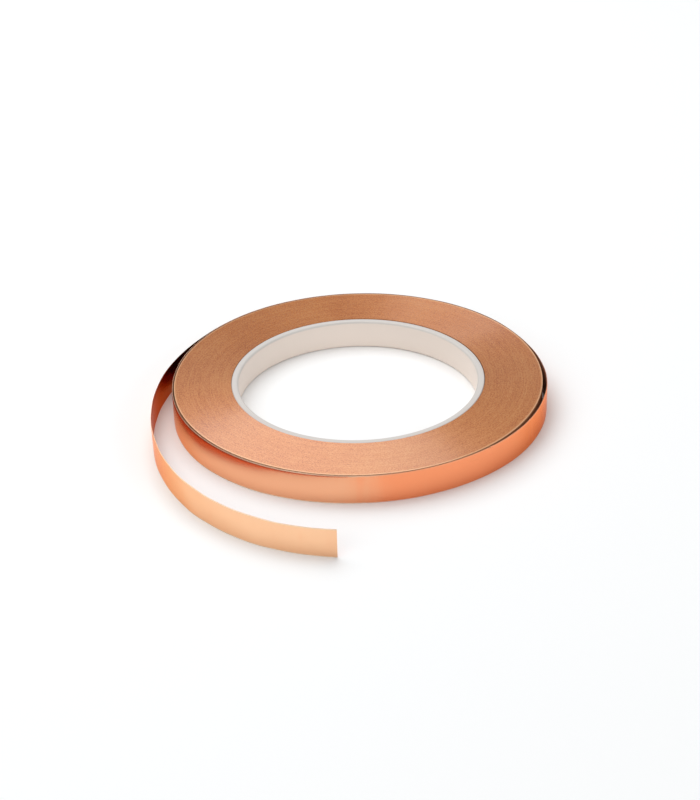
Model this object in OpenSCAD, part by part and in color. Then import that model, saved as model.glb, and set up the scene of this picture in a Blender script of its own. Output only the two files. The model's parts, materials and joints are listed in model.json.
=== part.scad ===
// Roll of copper foil tape lying flat, with its outermost turn loose and its free end trailing round the roll.
// The origin is on the axis of the core's hole, in the plane that the roll rests on. +Z points up the hole.
// The tape is wound anticlockwise seen from above, so its free end leaves the roll in that direction.

/* [Core] */
// Diameter of the hole through the core
core_bore_d = 76.2; // [70:0.1:80]
// Thickness of the core's wall
core_wall = 2.3; // [1.5:0.1:3.2]
// Radius of the rounded edges of the core's wall
core_edge_r = 0.6; // [0.3:0.1:0.7]

/* [Tape] */
// Width of the tape, which is also the height of the roll as it lies
tape_w = 9.5; // [5:0.5:12.5]
// Thickness of the copper foil
foil_t = 0.035; // [0.03:0.005:0.05]
// Thickness of the adhesive film on the inside of the foil
adhesive_t = 0.03; // [0.02:0.005:0.04]
// Thickness of the paper release liner over the adhesive
liner_t = 0.11; // [0.08:0.01:0.12]
// Number of turns that are wound tight on the core
wound_turns = 105; // [40:1:120]

/* [Loose turn] */
// Smallest gap between the wound tape and the loose turn
loose_gap = 0.3; // [0.2:0.05:1]
// How far the loose turn sits off the roll's axis, to the right
loose_shift = 0.35; // [0:0.05:0.6]
// How far the loose turn moves out in each half turn
half_turn_rise = 0.125; // [0.11:0.005:0.2]
// Length of tape tucked under the loose turn's own end, as an angle
tuck_angle = 40; // [10:5:80]

/* [Tail] */
// Angle at which the tape leaves the roll, from +X
leave_angle = 140; // [120:1:160]
// Radius of the long first bend of the tail
first_bend_r = 83; // [75:1:100]
// Angle that the first bend turns through
first_bend_angle = 71; // [50:1:75]
// Number of equal lengths that the first bend is jointed into
first_bend_lengths = 5; // [3:1:6]
// Radius of the tighter bend at the tail's end
end_bend_r = 62.5; // [60:0.5:75]
// Angle that the end bend turns through
end_bend_angle = 52; // [20:1:55]
// Number of equal lengths that the end bend is jointed into
end_bend_lengths = 3; // [2:1:4]

/* [Hidden] */
tail_lengths = first_bend_lengths + end_bend_lengths;
$fn = 180;

core_bore_r = core_bore_d / 2;
core_r = core_bore_r + core_wall;
layer_t = foil_t + adhesive_t + liner_t;
wound_r = core_r + wound_turns * layer_t;

// Outer faces of the loose turn's three stretches: tucked, front and back
tucked_r = wound_r + loose_gap + layer_t + loose_shift;
front_r = tucked_r + half_turn_rise;
back_r = front_r + half_turn_rise;
back_centre = [loose_shift, 0];
front_centre = [loose_shift + half_turn_rise, 0];

core_colour = [0.93, 0.93, 0.91];
wound_colour = [0.85, 0.58, 0.42];
foil_colour = [0.93, 0.62, 0.45];
adhesive_colour = [0.76, 0.38, 0.24];
liner_colour = [0.94, 0.92, 0.86];

function direction(angle) = [cos(angle), sin(angle)];

// Radius of the tail's length i, counted from 1 at the roll
function tail_radius(i) = i <= first_bend_lengths ? first_bend_r : end_bend_r;

// Angle that the tail's length i turns through
function tail_sweep(i) = i <= first_bend_lengths
    ? first_bend_angle / first_bend_lengths
    : end_bend_angle / end_bend_lengths;

// Angle from +X of the tail's outward normal where length i begins
function tail_angle(i) = i == 1 ? leave_angle : tail_angle(i - 1) + tail_sweep(i - 1);

// Point on the tail's outer face where length i begins
function tail_start(i) = i == 1
    ? back_centre + back_r * direction(leave_angle)
    : tail_start(i - 1) + tail_radius(i - 1) * (direction(tail_angle(i)) - direction(tail_angle(i - 1)));

function tail_centre(i) = tail_start(i) - tail_radius(i) * direction(tail_angle(i));

// A curved strip standing on edge: its outer face has radius r, and it turns from one angle to the other
module standing_strip(centre, r, thickness, from_angle, to_angle)
    translate([centre[0], centre[1], 0])
        rotate_extrude(start = from_angle, angle = to_angle - from_angle)
            translate([r - thickness, 0])
                square([thickness, tape_w]);

// One layer of the loose turn, which lies a given depth inside the outer face
module loose_turn_layer(depth, thickness) {
    standing_strip(back_centre, tucked_r - depth, thickness, leave_angle - tuck_angle, 180);
    standing_strip(front_centre, front_r - depth, thickness, 180, 360);
    standing_strip(back_centre, back_r - depth, thickness, 0, leave_angle);
}

// One layer of length i of the tail
module tail_layer(i, depth, thickness)
    standing_strip(tail_centre(i), tail_radius(i) - depth, thickness, tail_angle(i), tail_angle(i + 1));

// Section of the core's wall, with rounded edges
module core_section() {
    translate([core_bore_r, core_edge_r])
        square([core_wall, tape_w - 2 * core_edge_r]);
    translate([core_bore_r + core_edge_r, 0])
        square([core_wall - 2 * core_edge_r, tape_w]);
    for (x = [core_bore_r + core_edge_r, core_r - core_edge_r])
        for (z = [core_edge_r, tape_w - core_edge_r])
            translate([x, z])
                circle(r = core_edge_r);
}

// Plastic ring that the tape is wound on
module core()
    color(core_colour)
        rotate_extrude()
            core_section();

// Tape wound tight on the core: many turns of foil, adhesive and liner, as one laminate
module wound_tape()
    color(wound_colour)
        rotate_extrude()
            translate([core_r, 0])
                square([wound_r - core_r, tape_w]);

module loose_turn_foil()
    color(foil_colour)
        loose_turn_layer(0, foil_t);

module loose_turn_adhesive()
    color(adhesive_colour)
        loose_turn_layer(foil_t, adhesive_t);

module loose_turn_liner()
    color(liner_colour)
        loose_turn_layer(foil_t + adhesive_t, liner_t);

// Copper of length i of the tail
module tail_foil(i)
    color(foil_colour)
        tail_layer(i, 0, foil_t);

// Bare adhesive inside length i of the tail, where the liner has been peeled away
module tail_adhesive(i)
    color(adhesive_colour)
        tail_layer(i, foil_t, adhesive_t);

core();
wound_tape();
loose_turn_foil();
loose_turn_adhesive();
loose_turn_liner();
for (i = [1:tail_lengths]) {
    tail_foil(i);
    tail_adhesive(i);
}
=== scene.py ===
"""Looks of a roll of copper foil tape: plastic core, wound tape, loose outer turn and free tail.

Every length is in metres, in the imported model's own frame: the origin is on the core's axis, on the surface
that the roll rests on, and +Z points up the core's bore.
"""

import json
import logging
import math
from dataclasses import dataclass
from enum import Enum
from typing import Sequence, Union

import bpy
import numpy as np
from mathutils import Matrix, Vector


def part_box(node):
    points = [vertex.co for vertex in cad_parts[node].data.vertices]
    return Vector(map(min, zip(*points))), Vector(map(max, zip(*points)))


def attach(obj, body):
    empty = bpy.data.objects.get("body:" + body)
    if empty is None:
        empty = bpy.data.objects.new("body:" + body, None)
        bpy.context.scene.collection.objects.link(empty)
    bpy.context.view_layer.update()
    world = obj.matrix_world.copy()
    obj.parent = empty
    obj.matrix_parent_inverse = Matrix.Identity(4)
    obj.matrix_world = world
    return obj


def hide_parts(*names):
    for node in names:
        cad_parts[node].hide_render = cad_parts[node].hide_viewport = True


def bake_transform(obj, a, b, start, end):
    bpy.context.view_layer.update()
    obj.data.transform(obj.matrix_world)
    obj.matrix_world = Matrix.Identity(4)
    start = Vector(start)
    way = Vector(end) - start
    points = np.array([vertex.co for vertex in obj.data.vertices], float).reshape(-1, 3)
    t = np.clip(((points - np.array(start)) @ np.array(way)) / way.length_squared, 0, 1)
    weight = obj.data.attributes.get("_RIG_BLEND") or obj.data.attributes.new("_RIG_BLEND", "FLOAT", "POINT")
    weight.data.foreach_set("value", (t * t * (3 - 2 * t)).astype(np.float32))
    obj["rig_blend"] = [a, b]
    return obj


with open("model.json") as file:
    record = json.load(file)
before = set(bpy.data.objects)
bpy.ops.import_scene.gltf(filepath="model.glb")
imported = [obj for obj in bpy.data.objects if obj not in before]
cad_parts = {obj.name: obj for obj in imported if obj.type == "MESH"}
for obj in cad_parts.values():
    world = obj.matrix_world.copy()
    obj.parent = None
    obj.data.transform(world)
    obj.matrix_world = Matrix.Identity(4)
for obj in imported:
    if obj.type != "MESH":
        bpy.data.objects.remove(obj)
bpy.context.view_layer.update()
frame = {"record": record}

log = logging.getLogger("tape_roll")

MM = 0.001
FULL_TURN = 360.0
STRIP_MAP = "Strip"

Colour = tuple[float, float, float]
Factors = tuple[float, float, float]
Value = Union["Number", float, Sequence[float]]


# ---------------------------------------------------------------------------------------------------------
# Shader graphs
# ---------------------------------------------------------------------------------------------------------


@dataclass(frozen=True)
class Number:
    """A value on a node's socket. Arithmetic on it adds Math nodes to its graph."""

    graph: "Graph"
    socket: bpy.types.NodeSocket

    def _maths(self, operation: str, *values: Value) -> "Number":
        """Adds one Math node with these values."""
        return self.graph.add("ShaderNodeMath", {"operation": operation}, dict(enumerate(values)))

    def __add__(self, other: Value) -> "Number":
        """The sum."""
        return self._maths("ADD", self, other)

    def __radd__(self, other: Value) -> "Number":
        """The sum, with a plain number first."""
        return self._maths("ADD", other, self)

    def __sub__(self, other: Value) -> "Number":
        """The difference."""
        return self._maths("SUBTRACT", self, other)

    def __rsub__(self, other: Value) -> "Number":
        """The difference, with a plain number first."""
        return self._maths("SUBTRACT", other, self)

    def __mul__(self, other: Value) -> "Number":
        """The product."""
        return self._maths("MULTIPLY", self, other)

    def __rmul__(self, other: Value) -> "Number":
        """The product, with a plain number first."""
        return self._maths("MULTIPLY", other, self)

    def __truediv__(self, other: Value) -> "Number":
        """The quotient."""
        return self._maths("DIVIDE", self, other)

    def __pow__(self, other: Value) -> "Number":
        """The power."""
        return self._maths("POWER", self, other)

    def between(self, low: float, high: float) -> "Number":
        """A smooth step from 0 at low to 1 at high.

        Args:
            low: Value at which the step starts.
            high: Value at which it ends.

        Returns:
            The step, from 0 to 1.
        """
        return self.graph.add(
            "ShaderNodeMapRange",
            {"interpolation_type": "SMOOTHSTEP"},
            {"Value": self, "From Min": low, "From Max": high},
        )


class Graph:
    """The node tree of one material, with its Principled shader."""

    def __init__(self, name: str) -> None:
        """Makes an empty material.

        Args:
            name: Name of the material.
        """
        self.material = bpy.data.materials.new(name)
        self.material.use_nodes = True
        self.tree = self.material.node_tree
        self.tree.nodes.clear()
        self.shader = self.tree.nodes.new("ShaderNodeBsdfPrincipled")
        output = self.tree.nodes.new("ShaderNodeOutputMaterial")
        self.tree.links.new(self.shader.outputs["BSDF"], output.inputs["Surface"])

    def add(self, kind: str, settings: dict, values: dict, output: Union[int, str] = 0) -> Number:
        """Adds one node.

        Args:
            kind: Blender's name for the node's type.
            settings: The node's own properties.
            values: What each input socket gets: a link, or a plain value.
            output: The socket that is returned.

        Returns:
            The node's output.
        """
        node = self.tree.nodes.new(kind)
        for name, setting in settings.items():
            setattr(node, name, setting)
        for name, value in values.items():
            self._feed(node.inputs[name], value)
        return Number(self, node.outputs[output])

    def _feed(self, socket: bpy.types.NodeSocket, value: Value) -> None:
        """Links a value to a socket, or sets it there.

        Args:
            socket: The input.
            value: A link, or a plain value.
        """
        if isinstance(value, Number):
            self.tree.links.new(value.socket, socket)
        elif socket.type == "RGBA" and len(value) == 3:
            socket.default_value = (*value, 1.0)
        else:
            socket.default_value = value

    def place(self) -> Number:
        """The point on the surface, in metres, in the object's own frame."""
        return self.add("ShaderNodeTexCoord", {}, {}, "Object")

    def along_strip(self) -> Number:
        """The point on a strip of tape: millimetres along it, then up it."""
        return self.add("ShaderNodeUVMap", {"uv_map": STRIP_MAP}, {})

    def scaled(self, vector: Number, factors: Sequence[float]) -> Number:
        """The vector with each part multiplied by its own factor."""
        return self.add("ShaderNodeVectorMath", {"operation": "MULTIPLY"}, {0: vector, 1: factors})

    def part(self, vector: Number, axis: str) -> Number:
        """One part, X, Y or Z, of a vector."""
        return self.add("ShaderNodeSeparateXYZ", {}, {0: vector}, axis)

    def noise(self, vector: Number, scale: float, detail: float = 2.0) -> Number:
        """Smooth noise from 0 to 1.

        Args:
            vector: Where it is read.
            scale: How many of its bumps fit in one unit.
            detail: How many finer octaves it has.

        Returns:
            The noise.
        """
        return self.add("ShaderNodeTexNoise", {}, {"Vector": vector, "Scale": scale, "Detail": detail})

    def mix(self, share: Value, first: Value, second: Value) -> Number:
        """The first colour turned into the second by share."""
        values = {"Factor": share, 6: first, 7: second}
        return self.add("ShaderNodeMix", {"data_type": "RGBA"}, values, 2)

    def bump(self, height: Number, depth: float) -> Number:
        """A normal from a height that stands depth metres proud where it is 1."""
        values = {"Height": height, "Distance": depth, "Strength": 1.0}
        return self.add("ShaderNodeBump", {}, values, "Normal")

    def shade(self, **values: Value) -> bpy.types.Material:
        """Feeds the Principled shader.

        Args:
            values: What each of its sockets gets, with _ for each space in the socket's name.

        Returns:
            The finished material.
        """
        for name, value in values.items():
            self._feed(self.shader.inputs[name.replace("_", " ")], value)
        return self.material


# ---------------------------------------------------------------------------------------------------------
# Finishes
# ---------------------------------------------------------------------------------------------------------


@dataclass(frozen=True)
class Stretch:
    """A stretch along the tape, in millimetres from its hidden start, that fades in and out."""

    begin: float
    end: float
    fade: float

    def share(self, length: Number) -> Number:
        """1 on the stretch and 0 off it.

        Args:
            length: Millimetres along the tape.

        Returns:
            The share, from 0 to 1.
        """
        return length.between(self.begin, self.begin + self.fade) * (
            1.0 - length.between(self.end - self.fade, self.end)
        )


@dataclass(frozen=True)
class SlitEdges:
    """The narrow borders along the tape's two slit edges, in millimetres, where a highlight is painted on the
    foil.
    """

    height: float
    width: float = 0.42

    def share(self, graph: Graph, height: Number) -> Number:
        """1 at a slit edge and 0 inside its border.

        Args:
            graph: The graph that it adds to.
            height: Millimetres up the strip.

        Returns:
            The share, from 0 to 1.
        """
        middle = 0.5 * self.height
        from_middle = graph.add("ShaderNodeMath", {"operation": "ABSOLUTE"}, {0: height - middle})
        return from_middle.between(middle - self.width, middle - 0.3 * self.width)


@dataclass(frozen=True)
class CopperFoil:
    """Rolled copper foil with faint lines along it, and a painted highlight along its slit edges.

    It is deeper in colour on one stretch of the loose turn. On the tail's last stretch it is smoother, and
    its colour is mixed towards a painted highlight.
    """

    name: str
    edges: SlitEdges
    deep_stretch: Stretch
    polished_highlight: Stretch
    bright: Colour = (0.90, 0.45, 0.255)
    deep: Colour = (0.94, 0.325, 0.150)
    dulling: float = 0.03
    polish: float = 0.07
    # painted highlight colour for the tail's last stretch
    painted_highlight: Colour = (0.97, 0.585, 0.35)
    # painted highlight colour along the slit edges
    slit: Colour = (1.0, 0.78, 0.56)
    edge_tint: Colour = (1.0, 0.62, 0.44)
    roughness: float = 0.22
    slit_roughness: float = 0.16
    relief_depth: float = 0.006 * MM
    patch_scale: Factors = (0.05, 0.18, 1.0)
    rolling_scale: Factors = (0.03, 9.0, 1.0)
    grain_scale: Factors = (0.6, 3.0, 1.0)
    band_scale: Factors = (0.35, 0.03, 1.0)

    def material(self) -> bpy.types.Material:
        """Makes the material.

        Returns:
            The material.
        """
        graph = Graph(self.name)
        strip = graph.along_strip()
        length = graph.part(strip, "X")
        patches = graph.noise(graph.scaled(strip, self.patch_scale), 1.0, 3.0)
        rolling = graph.noise(graph.scaled(strip, self.rolling_scale), 1.0, 4.0)
        grain = graph.noise(graph.scaled(strip, self.grain_scale), 1.0, 2.0)
        bands = graph.noise(graph.scaled(strip, self.band_scale), 1.0, 2.0)
        uneven = 0.5 * (patches - 0.5) + 0.7 * (bands - 0.5)
        # painted highlight: the tail's last stretch is mixed towards a brighter colour, and its foil is also
        # smoother there
        polished_highlight = self.polished_highlight.share(length)
        with_painted_highlight = graph.mix((polished_highlight + uneven).between(0.0, 1.0), self.bright, self.painted_highlight)
        # a deeper colour on one stretch of the loose turn, where the foil is also rougher
        deep_share = self.deep_stretch.share(length)
        colour = graph.mix((deep_share + uneven).between(0.0, 1.0), with_painted_highlight, self.deep)
        roughness = self.roughness + self.dulling * deep_share - self.polish * polished_highlight
        roughness = roughness + 0.08 * (rolling - 0.5) + 0.08 * (patches - 0.5)
        relief = 0.6 * rolling + 0.4 * grain
        # painted highlight along both slit edges, weaker on the deep stretch
        slit = self.edges.share(graph, graph.part(strip, "Y")) * (1.0 - 0.85 * deep_share)
        return graph.shade(
            Base_Color=graph.mix(slit, colour, self.slit),
            Metallic=1.0,
            Roughness=roughness + self.slit_roughness * slit,
            Specular_Tint=self.edge_tint,
            Normal=graph.bump(relief, self.relief_depth),
        )


@dataclass(frozen=True)
class AdhesiveFilm:
    """Clear glossy adhesive, with the copper under it showing through."""

    name: str
    colour: Colour = (0.82, 0.270, 0.140)
    dull: Colour = (0.68, 0.195, 0.098)
    edge_tint: Colour = (1.0, 0.42, 0.25)
    roughness: float = 0.12

    def material(self) -> bpy.types.Material:
        """Makes the material.

        Returns:
            The material.
        """
        graph = Graph(self.name)
        strip = graph.along_strip()
        smears = graph.noise(graph.scaled(strip, (0.10, 0.30, 1.0)), 1.0, 3.0)
        ripple = graph.noise(graph.scaled(strip, (0.5, 1.2, 1.0)), 1.0, 2.0)
        return graph.shade(
            Base_Color=graph.mix(smears, self.colour, self.dull),
            Metallic=1.0,
            Roughness=self.roughness + 0.10 * smears,
            Specular_Tint=self.edge_tint,
            Coat_Weight=0.06,
            Coat_Roughness=0.08,
            Normal=graph.bump(ripple, 0.006 * MM),
        )


@dataclass(frozen=True)
class ReleaseLiner:
    """Brown paper coated with silicone, darker than the paper would be, as painted shade in the gaps between
    the turns.
    """

    name: str
    # a brown paper colour, made darker as painted shade in the gaps between the turns
    colour: Colour = (0.33, 0.135, 0.075)
    fibre: Colour = (0.25, 0.095, 0.05)

    def material(self) -> bpy.types.Material:
        """Makes the material.

        Returns:
            The material.
        """
        graph = Graph(self.name)
        strip = graph.along_strip()
        fibres = graph.noise(graph.scaled(strip, (2.0, 6.0, 1.0)), 1.0, 4.0)
        return graph.shade(
            Base_Color=graph.mix(fibres.between(0.35, 0.75), self.colour, self.fibre),
            Roughness=0.55 + 0.15 * fibres,
            Normal=graph.bump(fibres, 0.01 * MM),
        )


@dataclass(frozen=True)
class WoundEdges:
    """Edges of the wound turns: cut copper, adhesive and paper side by side, too fine to tell apart, with a
    painted highlight along the face's outer border.
    """

    name: str
    core_r: float
    wound_r: float
    layer: float
    copper: Colour = (0.56, 0.188, 0.046)
    worn: Colour = (0.64, 0.290, 0.092)
    shadow: Colour = (0.36, 0.090, 0.018)
    # colour of the painted highlight along the outer border of the face
    border: Colour = (0.98, 0.62, 0.36)
    roughness: float = 0.52
    gloss: float = 0.90
    gloss_roughness: float = 0.24
    edge_highlight_share: float = 0.50
    edge_highlight_begins: float = 0.65 * MM
    edge_highlight_full: float = 0.30 * MM
    speckle_scale: float = 2600.0
    stroke_scale: float = 90.0
    blotch_scale: float = 60.0
    relief_depth: float = 0.006 * MM

    def material(self) -> bpy.types.Material:
        """Makes the material.

        Returns:
            The material.
        """
        graph = Graph(self.name)
        place = graph.place()
        across, up = graph.part(place, "X"), graph.part(place, "Y")
        radius = (across * across + up * up) ** 0.5
        turns_wound = (radius - self.core_r) / self.layer
        turns = graph.add("ShaderNodeCombineXYZ", {}, {"X": turns_wound})
        per_turn = graph.noise(turns, 0.9, 1.0)
        bands = graph.noise(turns, 0.11, 3.0)
        speckle = graph.noise(place, self.speckle_scale, 2.0)
        dragged = {"X": turns_wound, "Y": across * self.stroke_scale, "Z": up * self.stroke_scale}
        strokes = graph.noise(graph.add("ShaderNodeCombineXYZ", {}, dragged), 1.0, 2.0)
        blotches = graph.noise(place, self.blotch_scale, 2.0)
        tone = 0.24 * per_turn + 0.10 * bands + 0.42 * speckle + 0.14 * strokes + 0.10 * blotches
        light = graph.mix(tone.between(0.47, 0.62), self.copper, self.worn)
        colour = graph.mix((0.50 - tone).between(0.0, 0.12), light, self.shadow)
        # painted highlight: a bright line along the outer border of the face
        edge_highlight_mask = radius.between(self.wound_r - self.edge_highlight_begins, self.wound_r - self.edge_highlight_full)
        return graph.shade(
            Base_Color=graph.mix(self.edge_highlight_share * edge_highlight_mask, colour, self.border),
            Metallic=0.40,
            Roughness=self.roughness + 0.16 * (speckle - 0.5),
            Coat_Weight=self.gloss * (0.55 + 0.9 * (strokes + speckle - 0.5)).between(0.0, 1.0),
            Coat_Roughness=self.gloss_roughness,
            Coat_IOR=1.6,
            Normal=graph.bump(0.5 * per_turn + 0.5 * speckle, self.relief_depth),
        )


@dataclass(frozen=True)
class CorePlastic:
    """Off-white plastic; its top edge is painted darker and greyer than its wall, as painted shade on the
    face that catches the light from above.
    """

    name: str
    rim_height: float
    wall: Colour = (0.88, 0.765, 0.68)
    # painted shade: darker, greyer colour for the top edge
    top_shade: Colour = (0.64, 0.595, 0.56)
    cloudy: Colour = (0.60, 0.57, 0.54)
    top_shade_begins: float = 0.9 * MM
    top_shade_full: float = 0.2 * MM

    def material(self) -> bpy.types.Material:
        """Makes the material.

        Returns:
            The material.
        """
        graph = Graph(self.name)
        place = graph.place()
        height = graph.part(place, "Z")
        # painted shade: the top edge is mixed towards a darker, greyer colour
        top = height.between(self.rim_height - self.top_shade_begins, self.rim_height - self.top_shade_full)
        cloud = graph.noise(place, 60.0, 2.0)
        scuffs = graph.noise(graph.scaled(place, (300.0, 300.0, 2600.0)), 1.0, 3.0)
        top_shaded = graph.mix(top, self.wall, self.top_shade)
        colour = graph.mix(0.10 * cloud, top_shaded, self.cloudy)
        return graph.shade(
            Base_Color=colour,
            Roughness=0.40 + 0.14 * scuffs,
            Normal=graph.bump(scuffs, 0.008 * MM),
        )


@dataclass(frozen=True)
class PaleFloor:
    """Matte white sweep that the roll lies on."""

    name: str
    colour: Colour = (0.957, 0.957, 0.957)
    mottled: Colour = (0.88, 0.88, 0.89)

    def material(self) -> bpy.types.Material:
        """Makes the material.

        Returns:
            The material.
        """
        graph = Graph(self.name)
        mottle = graph.noise(graph.place(), 14.0, 2.0)
        return graph.shade(
            Base_Color=graph.mix(0.02 * mottle, self.colour, self.mottled),
            Roughness=0.85 + 0.05 * mottle,
        )


# ---------------------------------------------------------------------------------------------------------
# Sizes and the line of the tape
# ---------------------------------------------------------------------------------------------------------


def smooth_step(value: np.ndarray, low: float, high: float) -> np.ndarray:
    """A smooth step from 0 at low to 1 at high.

    Args:
        value: Where it is read.
        low: Where it starts.
        high: Where it ends.

    Returns:
        The step, from 0 to 1.
    """
    t = np.clip((value - low) / (high - low), 0.0, 1.0)
    return t * t * (3.0 - 2.0 * t)


def swell(value: np.ndarray, middle: float, before: float, after: float) -> np.ndarray:
    """A rounded hump of height 1 that is 0 beyond its two reaches.

    Args:
        value: Where it is read.
        middle: Where it is highest.
        before: Its reach below the middle.
        after: Its reach above the middle.

    Returns:
        The hump, from 0 to 1.
    """
    offset = np.asarray(value, float) - middle
    share = np.clip(np.abs(offset) / np.where(offset < 0.0, before, after), 0.0, 1.0)
    return np.cos(0.5 * math.pi * share) ** 2


@dataclass(frozen=True)
class Swelling:
    """A rounded hump along the tape's line."""

    middle: float
    before: float
    after: float
    height: float

    def at(self, angles: np.ndarray) -> np.ndarray:
        """Its height at these angles."""
        return self.height * swell(angles, self.middle, self.before, self.after)


def directions(angles: np.ndarray) -> np.ndarray:
    """Unit vectors in plan view at these angles in degrees from +X."""
    turned = np.radians(angles)
    return np.stack([np.cos(turned), np.sin(turned)], -1)


@dataclass(frozen=True)
class RollSizes:
    """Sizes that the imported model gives."""

    bore_r: float
    core_r: float
    wound_r: float
    height: float
    foil: float
    adhesive: float
    turns: int = 105

    @classmethod
    def read(cls) -> "RollSizes":
        """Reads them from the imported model's nodes and its bore mount.

        Returns:
            The sizes.
        """
        bore = next(m for m in frame["record"]["mounts"] if m["kind"] == "bore")
        core_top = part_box("core")[1]
        foil_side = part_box("loose_turn_foil")[1].x
        adhesive_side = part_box("loose_turn_adhesive")[1].x
        liner_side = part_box("loose_turn_liner")[1].x
        return cls(
            bore_r=bore["dims"]["r_mm"] * MM,
            core_r=core_top.x,
            wound_r=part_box("wound_tape")[1].x,
            height=core_top.z,
            foil=foil_side - adhesive_side,
            adhesive=adhesive_side - liner_side,
        )

    @property
    def layer(self) -> float:
        """Thickness of one wound layer of tape."""
        return (self.wound_r - self.core_r) / self.turns


class Layer(Enum):
    """The three layers of the tape, from the outside in, each with a name of its own."""

    FOIL = "copper_foil"
    ADHESIVE = "adhesive_film"
    LINER = "release_liner"

    @property
    def word(self) -> str:
        """The layer's own word in the names of nodes and pieces."""
        return self.name.lower()

    def depths(self, sizes: RollSizes) -> tuple[float, float]:
        """How deep the layer starts and ends inside the tape's outer face.

        Args:
            sizes: Sizes of the roll.

        Returns:
            The two depths, in metres.
        """
        inside = sizes.foil + sizes.adhesive
        return {
            Layer.FOIL: (0.0, sizes.foil),
            Layer.ADHESIVE: (sizes.foil, inside),
            Layer.LINER: (inside, sizes.layer),
        }[self]


@dataclass(frozen=True)
class TapeLine:
    """The line of the tape's outer face in plan view, as a chain of arcs.

    A place on it is the angle of its outward normal from +X, in degrees, which grows all the way along.
    """

    sizes: RollSizes
    clearance: float = 0.3 * MM
    shift: float = 0.35 * MM
    half_turn_rise: float = 0.125 * MM
    start: float = 100.0
    leave: float = 500.0
    first_bend_radius: float = 83.0 * MM
    first_bend_angle: float = 71.0
    first_bend_lengths: int = 5
    end_bend_radius: float = 62.5 * MM
    end_bend_angle: float = 52.0
    end_bend_lengths: int = 3
    settle_angle: float = 24.0
    front_left: Swelling = Swelling(220.0, 42.0, 64.0, 0.84 * MM)
    right: Swelling = Swelling(350.0, 62.0, 38.0, 1.10 * MM)
    least_play_mm: float = 0.20
    back_play_mm: float = 0.20
    left_play_mm: float = 0.10

    @property
    def arcs(self) -> tuple[tuple[float, float], ...]:
        """Each arc's radius and the angle at which it ends.

        Returns:
            One pair for each arc, in order along the line.
        """
        tucked = self.sizes.wound_r + self.clearance + self.sizes.layer + self.shift
        first_end = self.leave + self.first_bend_angle
        return (
            (tucked, 180.0),
            (tucked + self.half_turn_rise, FULL_TURN),
            (tucked + 2.0 * self.half_turn_rise, self.leave),
            (self.first_bend_radius, first_end),
            (self.end_bend_radius, first_end + self.end_bend_angle),
        )

    @property
    def end(self) -> float:
        """The angle of the cut end."""
        return self.arcs[-1][1]

    @property
    def joints(self) -> list[float]:
        """The angle at which each jointed length of the tail begins, and the cut end's.

        Returns:
            The angles, in degrees.
        """
        steps = np.arange(self.first_bend_lengths)
        first = self.leave + self.first_bend_angle * steps / self.first_bend_lengths
        last = np.linspace(self.leave + self.first_bend_angle, self.end, self.end_bend_lengths + 1)
        return [float(a) for a in (*first, *last)]

    def model_points(self, angles: np.ndarray) -> np.ndarray:
        """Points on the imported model's line at these angles.

        Args:
            angles: Places on the line, in degrees.

        Returns:
            One point in plan view for each.
        """
        points = np.zeros((len(angles), 2))
        centre = np.array([self.shift, 0.0])
        last_radius = self.arcs[0][0]
        begins = -math.inf
        for radius, ends in self.arcs:
            if math.isfinite(begins):
                centre = centre + (last_radius - radius) * directions(np.array([begins]))[0]
            here = (angles > begins) & (angles <= ends + 1e-6)
            points[here] = centre + radius * directions(angles[here])
            begins, last_radius = ends, radius
        return points

    def play(self, angles: np.ndarray) -> np.ndarray:
        """How far the loose turn stands off the wound tape.

        Args:
            angles: Places on the line, in degrees.

        Returns:
            The play at each. It is largest at the two swellings, on the right and at the front left.
        """
        at_back = self.back_play_mm * smooth_step(angles, 385.0, 410.0)
        on_left = smooth_step(angles, 145.0, 190.0) * (1.0 - smooth_step(angles, 255.0, 285.0))
        small = (self.least_play_mm + at_back + self.left_play_mm * on_left) * MM
        return small + self.front_left.at(angles) + self.right.at(angles)

    def points(self, angles: np.ndarray) -> np.ndarray:
        """Points on the visible tape's outer face: the model's, moved in or out on the roll to its play.

        Args:
            angles: Places on the line, in degrees.

        Returns:
            One point in plan view for each.
        """
        on_roll = np.minimum(angles, self.leave)
        model = self.model_points(on_roll)
        target = self.sizes.wound_r + self.sizes.layer + self.play(on_roll)
        inset = np.hypot(*model.T) - target
        inset = inset * (1.0 - smooth_step(angles, self.leave, self.leave + self.settle_angle))
        return self.model_points(angles) - inset[:, None] * directions(angles)

    def normals(self, angles: np.ndarray) -> np.ndarray:
        """Outward unit normals of the visible line at these angles.

        Args:
            angles: Places on the line, in degrees.

        Returns:
            One unit vector in plan view for each.
        """
        nudge = 0.02
        before = self.points(np.maximum(angles - nudge, self.start))
        after = self.points(np.minimum(angles + nudge, self.end))
        along = after - before
        along /= np.hypot(*along.T)[:, None]
        return np.stack([along[:, 1], -along[:, 0]], -1)

    def lengths(self, angles: np.ndarray) -> np.ndarray:
        """Length of tape from the line's start to each of these rising angles.

        Args:
            angles: Places on the line, in degrees.

        Returns:
            The lengths, in metres.
        """
        fine = np.linspace(self.start, self.end, 6000)
        steps = np.hypot(*np.diff(self.points(fine), axis=0).T)
        return np.interp(angles, fine, np.concatenate([[0.0], np.cumsum(steps)]))


# ---------------------------------------------------------------------------------------------------------
# Meshes
# ---------------------------------------------------------------------------------------------------------


def make_piece(
    name: str,
    vertices: np.ndarray,
    faces: Sequence[Sequence[int]],
    material: bpy.types.Material,
    sharp: float,
) -> bpy.types.Object:
    """Makes one smooth-shaded mesh object.

    Args:
        name: Name of the piece.
        vertices: Its points, in metres.
        faces: The points of each face, anticlockwise seen from outside.
        material: Its finish.
        sharp: Angle in degrees above which an edge stays sharp.

    Returns:
        The object.
    """
    mesh = bpy.data.meshes.new(name)
    mesh.from_pydata(vertices.tolist(), [], [list(f) for f in faces])
    mesh.validate()
    mesh.materials.append(material)
    mesh.shade_smooth()
    mesh.set_sharp_from_angle(angle=math.radians(sharp))
    piece = bpy.data.objects.new(name, mesh)
    bpy.context.scene.collection.objects.link(piece)
    return piece


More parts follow.
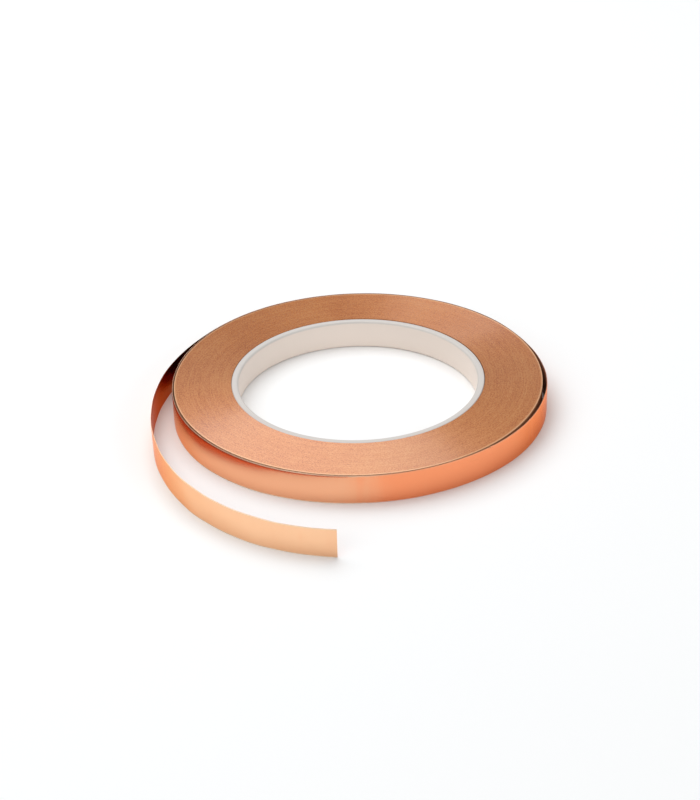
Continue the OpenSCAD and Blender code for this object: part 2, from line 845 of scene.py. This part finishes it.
@dataclass(frozen=True)
class Handling:
    """Small marks of handling on the foil: waves, creases, a nick, and slit edges that roll in."""

    height: float
    lean: Swelling = Swelling(220.0, 42.0, 64.0, 0.74 * MM)
    lean_from: float = 0.15
    wave: float = 0.05 * MM
    tail_wave: float = 0.16 * MM
    crease_depth: float = 0.08 * MM
    crease_angles: tuple[float, ...] = (249.0, 270.5, 331.0)
    nick_angle: float = 311.0
    nick_half_width: float = 1.1
    nick_depth: float = 0.26 * MM
    nick_reach: float = 1.3 * MM
    nick_press: float = 0.22 * MM
    nick_press_reach: float = 1.0 * MM
    edge_roll: float = 0.09 * MM
    edge_height: float = 0.25 * MM

    def _nick_at(self, angles: np.ndarray) -> np.ndarray:
        """The nick's share at these angles: 1 at its middle."""
        return swell(angles, self.nick_angle, self.nick_half_width, self.nick_half_width)

    def outward(self, angles: np.ndarray, heights: np.ndarray, leave: float) -> np.ndarray:
        """How far each point moves along the outward normal.

        Args:
            angles: Place of each station on the tape's line.
            heights: Height of each row.
            leave: Angle at which the tape leaves the roll.

        Returns:
            One value for each station and row.
        """
        a = angles[:, None]
        level = (heights / self.height)[None, :]
        on_tail = smooth_step(a, leave + 12.0, leave + 45.0)
        size = self.wave * (1.0 - on_tail) + self.tail_wave * on_tail
        long_wave = np.sin(np.radians(9.0 * a) + 1.1) * 0.5
        slanting_wave = np.sin(np.radians(17.0 * a) + 3.0 * level) * 0.3
        twisting_wave = np.sin(np.radians(31.0 * a) + 0.6) * (level - 0.5) * 0.5
        waves = long_wave + slanting_wave + twisting_wave
        above = np.clip((level - self.lean_from) / (1.0 - self.lean_from), 0.0, 1.0)
        total = size * waves - self.lean.at(a) * above**2
        for crease in self.crease_angles:
            total = total - self.crease_depth * swell(a, crease, 0.9, 0.5)
        near_top = smooth_step(level, 1.0 - self.nick_reach / self.height, 1.0)
        total = total - self.nick_depth * near_top * self._nick_at(a)
        edge = np.minimum(heights, self.height - heights)
        return total - self.edge_roll * (1.0 - smooth_step(edge, 0.0, self.edge_height))[None, :]

    def downward(self, angles: np.ndarray, heights: np.ndarray) -> np.ndarray:
        """How far each point of the nicked edge is pressed down.

        Args:
            angles: Place of each station on the tape's line.
            heights: Height of each row.

        Returns:
            One value for each station and row.
        """
        near_top = smooth_step(heights, self.height - self.nick_press_reach, self.height)[None, :]
        return self.nick_press * near_top * self._nick_at(angles)[:, None]


@dataclass(frozen=True)
class StripMaker:
    """Builds lengths of tape standing on edge, one layer at a time."""

    line: TapeLine
    handling: Handling
    station_gap: float = 0.45 * MM
    rows: int = 13

    def _heights(self) -> np.ndarray:
        """Heights of the rows of points, closer together near the slit edges."""
        even = np.linspace(0.0, math.pi, self.rows)
        return self.line.sizes.height * 0.5 * (1.0 - np.cos(even))

    def _stations(self, begin: float, end: float) -> np.ndarray:
        """Angles of the stations between two places on the line.

        Args:
            begin: Where they start, in degrees.
            end: Where they end.

        Returns:
            The angles, evenly spaced.
        """
        ends = self.line.lengths(np.array([begin, end]))
        count = max(6, int(round((ends[1] - ends[0]) / self.station_gap)))
        return np.linspace(begin, end, count + 1)

    def build(
        self, name: str, layer: Layer, begin: float, end: float, material: bpy.types.Material
    ) -> bpy.types.Object:
        """Makes one closed strip.

        Args:
            name: Name of the piece.
            layer: Which layer of the tape it is.
            begin: Place on the line where it starts, in degrees.
            end: Place where it ends.
            material: Its finish.

        Returns:
            The strip, with a map of millimetres along and up it.
        """
        angles, heights = self._stations(begin, end), self._heights()
        points, normals = self.line.points(angles), self.line.normals(angles)
        moved = self.handling.outward(angles, heights, self.line.leave)
        z = heights[None, :] - self.handling.downward(angles, heights)
        shells = []
        for depth in layer.depths(self.line.sizes):
            flat = points[:, None, :] + (moved - depth)[:, :, None] * normals[:, None, :]
            shells.append(np.concatenate([flat, z[:, :, None]], -1))
        loop = np.concatenate([shells[0], shells[1][:, ::-1]], 1)
        stations, around = loop.shape[:2]
        faces = self._skin(stations, around) + self._caps(stations, around)
        piece = make_piece(name, loop.reshape(-1, 3), faces, material, 35.0)
        self._map(piece, self.line.lengths(angles), np.concatenate([heights, heights[::-1]]))
        return piece

    @staticmethod
    def _skin(stations: int, around: int) -> list[tuple[int, ...]]:
        """Faces along the strip, between neighbouring stations.

        Args:
            stations: How many stations there are.
            around: Points at each.

        Returns:
            The points of each face.
        """
        faces = []
        for s in range(stations - 1):
            here, onward = s * around, (s + 1) * around
            for k in range(around):
                beside = (k + 1) % around
                faces.append((here + k, onward + k, onward + beside, here + beside))
        return faces

    @staticmethod
    def _caps(stations: int, around: int) -> list[tuple[int, ...]]:
        """Faces that close the strip's two ends.

        Args:
            stations: How many stations there are.
            around: Points at each.

        Returns:
            The points of each face.
        """
        faces = []
        last = (stations - 1) * around
        for k in range(around // 2 - 1):
            mate = around - 1 - k
            faces.append((k, k + 1, mate - 1, mate))
            faces.append((last + k, last + mate, last + mate - 1, last + k + 1))
        return faces

    @staticmethod
    def _map(piece: bpy.types.Object, lengths: np.ndarray, heights: np.ndarray) -> None:
        """Adds the map of millimetres along and up the strip.

        Args:
            piece: The strip.
            lengths: Metres along the tape, for each station.
            heights: Metres up it, for each point of a station.
        """
        mesh = piece.data
        corners = np.zeros(len(mesh.loops), np.int32)
        mesh.loops.foreach_get("vertex_index", corners)
        around = len(heights)
        flat = np.stack([lengths[corners // around], heights[corners % around]], -1) / MM
        mesh.uv_layers.new(name=STRIP_MAP).data.foreach_set("uv", flat.astype(np.float32).ravel())


# ---------------------------------------------------------------------------------------------------------
# The pieces of the roll
# ---------------------------------------------------------------------------------------------------------


@dataclass(frozen=True)
class Core:
    """The plastic ring that the tape is wound on."""

    sizes: RollSizes
    outer_edge: float = 0.45 * MM
    inner_edge: float = 0.80 * MM
    edge_steps: int = 9
    segments: int = 288

    def _section(self) -> np.ndarray:
        """Outline of the ring's wall, as (radius, height) points, anticlockwise.

        Returns:
            The points.
        """
        outline = []
        corners = zip((-90.0, 0.0, 90.0, 180.0), 2 * [self.outer_edge] + 2 * [self.inner_edge])
        for first, edge in corners:
            outside = first < 90.0
            above = 0.0 <= first < 180.0
            radius = self.sizes.core_r - edge if outside else self.sizes.bore_r + edge
            height = self.sizes.height - edge if above else edge
            turn = directions(np.linspace(first, first + 90.0, self.edge_steps))
            outline.extend(np.array([radius, height]) + edge * turn)
        return np.array(outline)

    def build(self) -> bpy.types.Object:
        """Makes the ring.

        Returns:
            The ring, dressed and on its body.
        """
        section = self._section()
        count = len(section)
        around = directions(np.arange(self.segments) * FULL_TURN / self.segments)
        flat = around[:, None, :] * section[None, :, :1]
        heights = np.broadcast_to(section[None, :, 1:], (self.segments, count, 1))
        vertices = np.concatenate([flat, heights], -1).reshape(-1, 3)
        faces = [
            (s * count + k, (s + 1) % self.segments * count + k,
             (s + 1) % self.segments * count + (k + 1) % count, s * count + (k + 1) % count)
            for s in range(self.segments)
            for k in range(count)
        ]
        finish = CorePlastic("core plastic", self.sizes.height)
        piece = make_piece("core_ring", vertices, faces, finish.material(), 50.0)
        return fitted(piece, "core", "roll")


@dataclass(frozen=True)
class SpiralFace:
    """One end face of the wound tape: rows of points that follow the spiral, a few to each turn."""

    sizes: RollSizes
    seam: float
    segments: int
    profile: tuple[tuple[float, float], ...]
    first: int = 0

    @property
    def per_turn(self) -> int:
        """Rows of points in each turn."""
        return len(self.profile)

    @property
    def last_row(self) -> int:
        """The row along the outer border."""
        return (self.sizes.turns - 1) * self.per_turn

    def index(self, row: int, step: int) -> int:
        """Number of a point. One full turn on, a row goes on as the row that is one turn further out.

        Args:
            row: Its row.
            step: Its place along the turn.

        Returns:
            Its number in the mesh.
        """
        if step == self.segments:
            return self.first + (row + self.per_turn) * self.segments
        return self.first + row * self.segments + step

    def points(self, level: float, drift: np.ndarray) -> np.ndarray:
        """The face's points.

        Args:
            level: Its mean height.
            drift: How far each turn's edge stands off that height.

        Returns:
            The points, row by row.
        """
        rows = np.arange(self.last_row + self.per_turn + 1)
        shares, reliefs = (np.array(column)[rows % self.per_turn] for column in zip(*self.profile))
        steps = np.arange(self.segments) / self.segments
        wound = (rows // self.per_turn + shares)[:, None] + steps[None, :]
        radius = self.sizes.core_r + self.sizes.layer * wound
        heights = level + reliefs[:, None] + np.interp(wound, np.arange(len(drift)), drift)
        flat = radius[:, :, None] * directions(self.seam + FULL_TURN * steps)[None, :, :]
        return np.concatenate([flat, heights[:, :, None]], -1).reshape(-1, 3)

    def quads(self) -> list[tuple[int, ...]]:
        """Its faces, anticlockwise seen from above.

        Returns:
            The points of each face.
        """
        return [
            (self.index(m, j), self.index(m + 1, j), self.index(m + 1, j + 1), self.index(m, j + 1))
            for m in range(self.last_row)
            for j in range(self.segments)
        ]

    def border(self, row: int) -> list[int]:
        """Points along one border, from the seam right round to it."""
        return [self.index(row, j) for j in range(self.segments + 1)]

    def step(self, row: int) -> list[int]:
        """Points across the seam, from this row to the one that is a turn further out."""
        return [self.index(row + k, 0) for k in range(self.per_turn + 1)]


@dataclass(frozen=True)
class WoundTape:
    """The turns wound tight on the core, as one closed spiral with a ridge along each turn's foil edge."""

    sizes: RollSizes
    seam: float
    segments: int = 216
    profile: tuple[tuple[float, float], ...] = ((0.0, 0.020 * MM), (0.35, 0.006 * MM), (0.75, -0.020 * MM))
    underside: tuple[tuple[float, float], ...] = ((0.0, 0.0),)
    unevenness: float = 0.012 * MM
    underside_unevenness: float = 0.004 * MM
    seed: int = 7

    def _drift(self, size: float, seed: int) -> np.ndarray:
        """Random height of each turn's edge."""
        return np.random.default_rng(seed).normal(0.0, size, self.sizes.turns + 2)

    def _walls(self, top: SpiralFace, low: SpiralFace) -> list[tuple[int, ...]]:
        """Faces of the inner and outer walls, and of the tape's two ends.

        Args:
            top: The upper face.
            low: The lower face.

        Returns:
            The points of each face.
        """
        faces = []
        for outer in (False, True):
            upper = top.border(top.last_row if outer else 0)
            lower = low.border(low.last_row if outer else 0)
            for j in range(self.segments):
                wall = (upper[j], upper[j + 1], lower[j + 1], lower[j])
                faces.append(wall[::-1] if outer else wall)
            upper_step = top.step(top.last_row if outer else 0)
            lower_step = low.step(low.last_row if outer else 0)
            end = tuple(upper_step + lower_step[::-1])
            faces.append(end if outer else end[::-1])
        return faces

    def build(self) -> bpy.types.Object:
        """Makes the wound tape and dresses it.

        Returns:
            The wound tape, on its body.
        """
        top = SpiralFace(self.sizes, self.seam, self.segments, self.profile)
        above = top.points(self.sizes.height, self._drift(self.unevenness, self.seed))
        low = SpiralFace(self.sizes, self.seam, self.segments, self.underside, len(above))
        lift = 4.0 * self.underside_unevenness
        below = low.points(lift, self._drift(self.underside_unevenness, self.seed + 1))
        faces = top.quads() + [quad[::-1] for quad in low.quads()] + self._walls(top, low)
        used = np.unique(np.concatenate([np.array(f) for f in faces]))
        renumber = np.zeros(len(above) + len(below), int)
        renumber[used] = np.arange(len(used))
        vertices = np.concatenate([above, below])[used]
        renumbered = [renumber[list(f)].tolist() for f in faces]
        finish = WoundEdges("wound tape edges", self.sizes.core_r, self.sizes.wound_r, self.sizes.layer)
        piece = make_piece("wound_turns", vertices, renumbered, finish.material(), 30.0)
        return fitted(piece, "wound_tape", "roll")


@dataclass(frozen=True)
class LooseTurn:
    """The outer turn that has sprung off the wound tape, as its three layers."""

    maker: StripMaker
    finishes: dict[Layer, bpy.types.Material]

    def build(self) -> list[bpy.types.Object]:
        """Makes the three layers, which all end where the tail's first bend begins.

        Returns:
            One piece for each layer.
        """
        line = self.maker.line
        pieces = []
        for layer in Layer:
            word = layer.word
            piece = self.maker.build(
                f"loose_turn_{word}_strip", layer, line.start, line.leave, self.finishes[layer]
            )
            pieces.append(fitted(piece, f"loose_turn_{word}", "loose_turn"))
        return pieces


@dataclass(frozen=True)
class Tail:
    """The free tail, foil and adhesive without the liner: one bending length for each joint."""

    maker: StripMaker
    finishes: dict[Layer, bpy.types.Material]

    def _point(self, angle: float) -> tuple[float, float, float]:
        """The point at mid height on the tape's line."""
        x, y = self.maker.line.points(np.array([angle]))[0]
        return float(x), float(y), 0.5 * self.maker.line.sizes.height

    def build(self) -> list[bpy.types.Object]:
        """Makes every length of both layers, from the place where the tape leaves the roll to the cut end.

        Returns:
            The pieces.
        """
        line = self.maker.line
        splits = tail_splits(line)
        last = len(splits) - 1
        pieces = []
        for layer in (Layer.FOIL, Layer.ADHESIVE):
            word = layer.word
            for i, (begin, end) in enumerate(zip(splits[:-1], splits[1:]), start=1):
                before = "loose_turn" if i == 1 else f"tail_{i - 1}"
                piece = self.maker.build(f"tail_bend_{i}_{word}", layer, begin, end, self.finishes[layer])
                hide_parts(f"tail_{i}_{word}")
                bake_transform(piece, before, f"tail_{i}", start=self._point(begin), end=self._point(end))
                pieces.append(piece)
            finish = self.finishes[layer]
            piece = self.maker.build(f"tail_end_{word}", layer, splits[last], line.end, finish)
            pieces.append(fitted(piece, f"tail_{last}_{word}", f"tail_{last}"))
        return pieces


def tail_splits(line: TapeLine) -> list[float]:
    """Places where one piece of the tail's strip ends and the next begins.

    Args:
        line: The line of the tape.

    Returns:
        The first joint, then the middle of each jointed length.
    """
    joints = line.joints
    return [joints[0]] + [0.5 * (a + b) for a, b in zip(joints[:-1], joints[1:])]


def fitted(piece: bpy.types.Object, node: str, body: str) -> bpy.types.Object:
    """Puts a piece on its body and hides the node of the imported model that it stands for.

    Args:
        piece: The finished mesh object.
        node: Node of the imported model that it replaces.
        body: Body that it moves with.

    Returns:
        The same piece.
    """
    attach(piece, body)
    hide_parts(node)
    return piece


# ---------------------------------------------------------------------------------------------------------
# The studio
# ---------------------------------------------------------------------------------------------------------


@dataclass(frozen=True)
class SoftBox:
    """A large soft light that faces the roll."""

    name: str
    place: tuple[float, float, float]
    width: float
    depth: float
    radiance: float
    tint: Colour = (1.0, 1.0, 1.0)

    def build(self, target: Vector) -> bpy.types.Object:
        """Makes the light, turned to face the target.

        Args:
            target: The point that it faces.

        Returns:
            The light.
        """
        lamp = bpy.data.lights.new(self.name, "AREA")
        lamp.shape = "RECTANGLE"
        lamp.size, lamp.size_y = self.width, self.depth
        lamp.energy = self.radiance * math.pi * self.width * self.depth
        lamp.color = self.tint
        light = bpy.data.objects.new(self.name, lamp)
        light.location = self.place
        light.rotation_euler = (target - Vector(self.place)).to_track_quat("-Z", "Y").to_euler()
        bpy.context.scene.collection.objects.link(light)
        return light


@dataclass(frozen=True)
class Studio:
    """A white floor, soft light from above and a camera that looks down at the roll."""

    target: Vector
    floor_half_width: float = 5.0
    floor_drop: float = 0.03 * MM
    surround: Colour = (0.94, 0.98, 1.0)
    surround_strength: float = 0.30
    stand_back: float = 575.7 * MM
    eye_height: float = 332.4 * MM
    pitch: float = 29.90
    yaw: float = -0.27
    roll: float = -1.63
    lens: float = 93.1

    def _floor(self) -> None:
        """Lays the floor."""
        half = self.floor_half_width
        corners = np.array([(-half, -half, 0.0), (half, -half, 0.0), (half, half, 0.0), (-half, half, 0.0)])
        corners[:, 2] = -self.floor_drop
        floor = make_piece("floor", corners, [(0, 1, 2, 3)], PaleFloor("floor").material(), 30.0)

    def _world(self) -> None:
        """Lights the whole surround evenly."""
        world = bpy.data.worlds.new("studio")
        world.use_nodes = True
        background = world.node_tree.nodes["Background"]
        background.inputs["Color"].default_value = (*self.surround, 1.0)
        background.inputs["Strength"].default_value = self.surround_strength
        bpy.context.scene.world = world

    def _camera(self) -> None:
        """Sets up the camera."""
        pitch, yaw, roll = (math.radians(a) for a in (self.pitch, self.yaw, self.roll))
        level = math.cos(pitch)
        forward = Vector((math.sin(yaw) * level, math.cos(yaw) * level, -math.sin(pitch)))
        right = Vector((math.cos(yaw), -math.sin(yaw), 0.0))
        up = right.cross(forward)
        side = right * math.cos(roll) + up * math.sin(roll)
        top = up * math.cos(roll) - right * math.sin(roll)
        turned = Matrix((side, top, -forward)).transposed().to_4x4()
        data = bpy.data.cameras.new("camera")
        data.lens = self.lens
        camera = bpy.data.objects.new("camera", data)
        camera.matrix_world = Matrix.Translation((0.0, -self.stand_back, self.eye_height)) @ turned
        bpy.context.scene.collection.objects.link(camera)
        bpy.context.scene.camera = camera

    def build(self, lights: Sequence[SoftBox]) -> None:
        """Sets up the floor, the surround, the lights and the camera.

        Args:
            lights: The soft lights.
        """
        self._floor()
        self._world()
        self._camera()
        for light in lights:
            light.build(self.target)
        bpy.context.scene.view_settings.view_transform = "Standard"


# ---------------------------------------------------------------------------------------------------------
# The scene
# ---------------------------------------------------------------------------------------------------------


@dataclass(frozen=True)
class FoilStretches:
    """Where the foil is deeper in colour, and where it is smoother and has a painted highlight: angles on the
    tape's line, and lengths in millimetres.
    """

    line: TapeLine
    deep_begin: float = 259.0
    deep_end: float = 400.0
    deep_fade: float = 26.0
    polished_highlight_begin: float = 548.0
    polished_highlight_past_cut: float = 22.0
    polished_highlight_fade: float = 34.0

    def _length(self, angle: float) -> float:
        """Millimetres of tape from the line's start to this angle."""
        return float(self.line.lengths(np.array([angle]))[0] / MM)

    def deep_stretch(self) -> Stretch:
        """The stretch that is deeper in colour."""
        return Stretch(self._length(self.deep_begin), self._length(self.deep_end), self.deep_fade)

    def polished_highlight(self) -> Stretch:
        """The stretch of smoother foil with a painted highlight, up to the cut end, past which its fade out
        lies.
        """
        end = self._length(self.line.end) + self.polished_highlight_past_cut
        return Stretch(self._length(self.polished_highlight_begin), end, self.polished_highlight_fade)


def main() -> None:
    """Builds the roll, piece by piece, and the studio around it."""
    logging.basicConfig(level=logging.INFO, format="%(name)s: %(message)s")
    sizes = RollSizes.read()
    line = TapeLine(sizes)
    maker = StripMaker(line, Handling(sizes.height))
    stretches = FoilStretches(line)
    edges = SlitEdges(sizes.height / MM)
    foil = CopperFoil("copper foil", edges, stretches.deep_stretch(), stretches.polished_highlight())
    finishes = {
        Layer.FOIL: foil.material(),
        Layer.ADHESIVE: AdhesiveFilm("adhesive film").material(),
        Layer.LINER: ReleaseLiner("release liner").material(),
    }
    pieces = [Core(sizes).build(), WoundTape(sizes, line.start).build()]
    pieces += LooseTurn(maker, finishes).build()
    pieces += Tail(maker, finishes).build()
    lights = (
        SoftBox("overhead", (-0.32, 0.42, 1.12), 1.50, 1.30, 2.45),
        SoftBox("front fill", (-0.80, -1.10, 0.80), 1.10, 0.80, 1.4),
        SoftBox("right fill", (1.05, -0.85, 0.65), 0.90, 0.60, 2.6),
    )
    Studio(Vector((0.0, 0.0, 0.5 * sizes.height))).build(lights)


if __name__ == "__main__":
    main()
